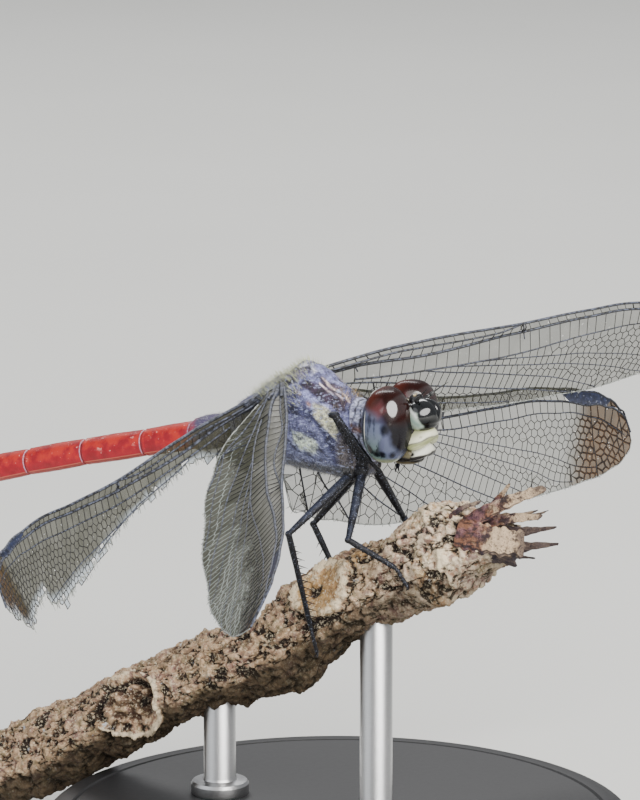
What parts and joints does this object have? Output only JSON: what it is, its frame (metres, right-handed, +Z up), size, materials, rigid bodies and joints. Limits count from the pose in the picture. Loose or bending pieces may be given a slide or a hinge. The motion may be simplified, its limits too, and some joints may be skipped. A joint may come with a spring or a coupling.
{
  "type": "dragonfly",
  "caption": "Life-size still dragonfly with a scarlet abdomen and wings swept forward, gripping a short broken twig held over a round base by slim rods.",
  "frame": {"origin": "centre of the underside of the round base", "axes": "+X the way the insect faces, +Y to its left, +Z up"},
  "size_m": [0.0609, 0.0686, 0.0364],
  "materials": {
    "abdomen_base": "purplish-grey bloom on the first two segments",
    "abdomen_red": "scarlet cuticle, satin",
    "antenna_black": "black",
    "face_cream": "creamy white to pale green",
    "labium_tan": "brown",
    "frons_metallic": "shiny blue-black with a metallic sheen",
    "capsule_black": "black with pale rims",
    "eye": "glossy, maroon above and pale blue-grey below",
    "leg_bloom": "black with blue-grey bloom",
    "leg_black": "black",
    "wing_membrane": "clear membrane with dark veins and brown tips",
    "thorax_bloom": "blue-violet bloom with cream patches",
    "bark": "rough tan bark",
    "stand_black": "satin black",
    "stand_steel": "brushed"
  },
  "bodies": {
    "root": {"abdomen_segment_01": "abdomen_base", "abdomen_segment_02": "abdomen_base", "abdomen_segment_03": "abdomen_red", "abdomen_segment_04": "abdomen_red", "abdomen_segment_05": "abdomen_red", "abdomen_segment_06": "abdomen_red", "abdomen_segment_07": "abdomen_red", "abdomen_segment_08": "abdomen_red", "abdomen_segment_09": "abdomen_red", "abdomen_segment_10": "abdomen_red", "antenna_left": "antenna_black", "antenna_right": "antenna_black", "cercus_left": "abdomen_red", "cercus_right": "abdomen_red", "epiproct": "abdomen_red", "clypeus": "face_cream", "labrum": "face_cream", "labium": "labium_tan", "frons": "frons_metallic", "vertex": "frons_metallic", "head_capsule": "capsule_black", "eye_left": "eye", "eye_right": "eye", "foreleg_left_femur": "leg_bloom", "foreleg_left_tibia": "leg_black", "foreleg_left_tarsus": "leg_black", "foreleg_right_femur": "leg_bloom", "foreleg_right_tibia": "leg_black", "foreleg_right_tarsus": "leg_black", "midleg_left_femur": "leg_bloom", "midleg_left_tibia": "leg_black", "midleg_left_tarsus": "leg_black", "midleg_right_femur": "leg_bloom", "midleg_right_tibia": "leg_black", "midleg_right_tarsus": "leg_black", "hindleg_left_femur": "leg_bloom", "hindleg_left_tibia": "leg_black", "hindleg_left_tarsus": "leg_black", "hindleg_right_femur": "leg_bloom", "hindleg_right_tibia": "leg_black", "hindleg_right_tarsus": "leg_black", "forewing_left": "wing_membrane", "forewing_right": "wing_membrane", "hindwing_left": "wing_membrane", "hindwing_right": "wing_membrane", "prothorax": "thorax_bloom", "synthorax": "thorax_bloom", "perch_twig": "bark", "perch_bud_scale_1": "bark", "perch_bud_scale_2": "bark", "perch_bud_scale_3": "bark", "perch_bud_scale_4": "bark", "perch_bud_scale_5": "bark", "stand_base": "stand_black", "stand_rod_1": "stand_steel", "stand_rod_2": "stand_steel"}
  },
  "joints": []
}
